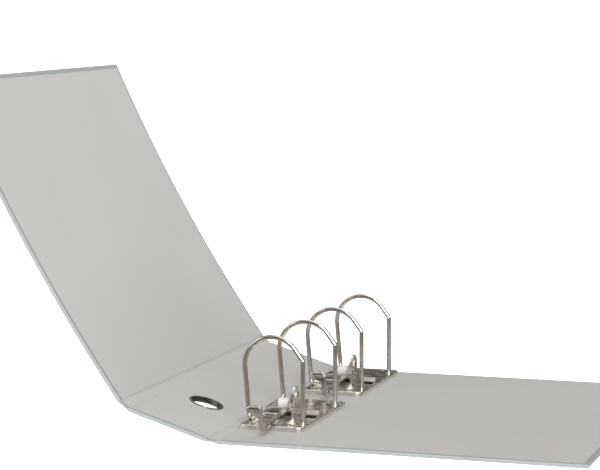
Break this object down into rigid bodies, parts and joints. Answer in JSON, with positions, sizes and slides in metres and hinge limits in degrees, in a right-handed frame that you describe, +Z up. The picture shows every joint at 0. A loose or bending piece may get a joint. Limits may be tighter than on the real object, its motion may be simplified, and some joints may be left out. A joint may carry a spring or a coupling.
{
  "type": "lever arch file",
  "caption": "Hinged office file lying open, with a finger ring and label pocket on its spine and two lever arch mechanisms riveted to the back cover.",
  "frame": {"origin": "centre of the back cover's underside, on the surface the open file lies on", "axes": "+Z up from that surface; +Y along the file's height, from its bottom edge to its top edge; +X from the hinge across the back cover to its fore edge"},
  "size_m": [0.4928, 0.32, 0.2669],
  "materials": {
    "linen_covering": "grey embossed linen-look covering",
    "lining_paper": "smooth matt warm grey",
    "grey_board": "raw grey board",
    "nickel_steel": "bright nickel plate",
    "ring_metal": "bright nickel plate",
    "roller_plastic": "white nylon",
    "label_paper": "white uncoated card",
    "clear_film": "clear polypropylene film"
  },
  "bodies": {
    "back_cover": {"back_cover_board": "grey_board", "back_cover_covering": "linen_covering", "back_cover_lining": "lining_paper", "bottom_base_plate": "nickel_steel", "bottom_lower_post": "nickel_steel", "bottom_upper_post": "nickel_steel", "bottom_lever_pin": "nickel_steel", "bottom_board_rivets": "nickel_steel", "top_base_plate": "nickel_steel", "top_lower_post": "nickel_steel", "top_upper_post": "nickel_steel", "top_lever_pin": "nickel_steel", "top_board_rivets": "nickel_steel"},
    "rear_hinge": {"rear_hinge_covering": "linen_covering", "rear_hinge_lining": "lining_paper"},
    "spine": {"spine_board": "grey_board", "spine_covering": "linen_covering", "spine_lining": "lining_paper", "finger_ring": "ring_metal", "finger_ring_washer": "ring_metal", "label_pocket": "clear_film"},
    "front_hinge": {"front_hinge_covering": "linen_covering", "front_hinge_lining": "lining_paper"},
    "front_cover": {"front_cover_board": "grey_board", "front_cover_covering": "linen_covering", "front_cover_lining": "lining_paper"},
    "label": {"label_card": "label_paper"},
    "bottom_arches": {"bottom_arches": "nickel_steel"},
    "bottom_lever": {"bottom_lever": "nickel_steel", "bottom_roller_pin": "nickel_steel"},
    "bottom_roller": {"bottom_roller": "roller_plastic"},
    "top_arches": {"top_arches": "nickel_steel"},
    "top_lever": {"top_lever": "nickel_steel", "top_roller_pin": "nickel_steel"},
    "top_roller": {"top_roller": "roller_plastic"}
  },
  "joints": [
    {"name": "rear_inner_crease", "type": "hinge", "parent": "back_cover", "child": "rear_hinge", "pos_m": [-0.1385, 0, 0.0006], "axis": [0, 1, 0], "range_deg": [-7.6, 36.4]},
    {"name": "rear_outer_crease", "type": "hinge", "parent": "rear_hinge", "child": "spine", "pos_m": [-0.14641, 0, 0.0018], "axis": [0, 1, 0], "range_deg": [-7.6, 36.4]},
    {"name": "front_inner_crease", "type": "hinge", "parent": "spine", "child": "front_hinge", "pos_m": [-0.20898, 0, 0.02117], "axis": [0, 1, 0], "range_deg": [-19, 23.6]},
    {"name": "front_outer_crease", "type": "hinge", "parent": "front_hinge", "child": "front_cover", "pos_m": [-0.21523, 0, 0.02616], "axis": [0, 1, 0], "range_deg": [-19, 23.6]},
    {"name": "bottom_lever_swing", "type": "hinge", "parent": "back_cover", "child": "bottom_lever", "pos_m": [-0.1105, -0.066, 0.0214], "axis": [1, 0, 0], "range_deg": [-95, 0]},
    {"name": "bottom_arch_swing", "type": "hinge", "parent": "back_cover", "child": "bottom_arches", "pos_m": [-0.1339, -0.06, 0.00865], "axis": [0, 1, 0], "range_deg": [-39, 0]},
    {"name": "bottom_roller_spin", "type": "hinge", "parent": "bottom_lever", "child": "bottom_roller", "pos_m": [-0.1155, -0.0715, 0.0156], "axis": [1, 0, 0], "continuous": true},
    {"name": "top_lever_swing", "type": "hinge", "parent": "back_cover", "child": "top_lever", "pos_m": [-0.1105, 0.085, 0.0214], "axis": [1, 0, 0], "range_deg": [-95, 0]},
    {"name": "top_arch_swing", "type": "hinge", "parent": "back_cover", "child": "top_arches", "pos_m": [-0.1339, 0.091, 0.00865], "axis": [0, 1, 0], "range_deg": [-39, 0]},
    {"name": "top_roller_spin", "type": "hinge", "parent": "top_lever", "child": "top_roller", "pos_m": [-0.1155, 0.0795, 0.0156], "axis": [1, 0, 0], "continuous": true},
    {"name": "label_slide", "type": "slide", "parent": "spine", "child": "label", "axis": [0, -1, 0], "range_m": [-0.15, 0]}
  ],
  "couplings": [
    {"joint": "rear_outer_crease", "follows": "rear_inner_crease", "ratio": 1},
    {"joint": "front_outer_crease", "follows": "front_inner_crease", "ratio": 1},
    {"joint": "bottom_arch_swing", "follows": "bottom_lever_swing", "ratio": 0.41},
    {"joint": "top_arch_swing", "follows": "top_lever_swing", "ratio": 0.41}
  ]
}
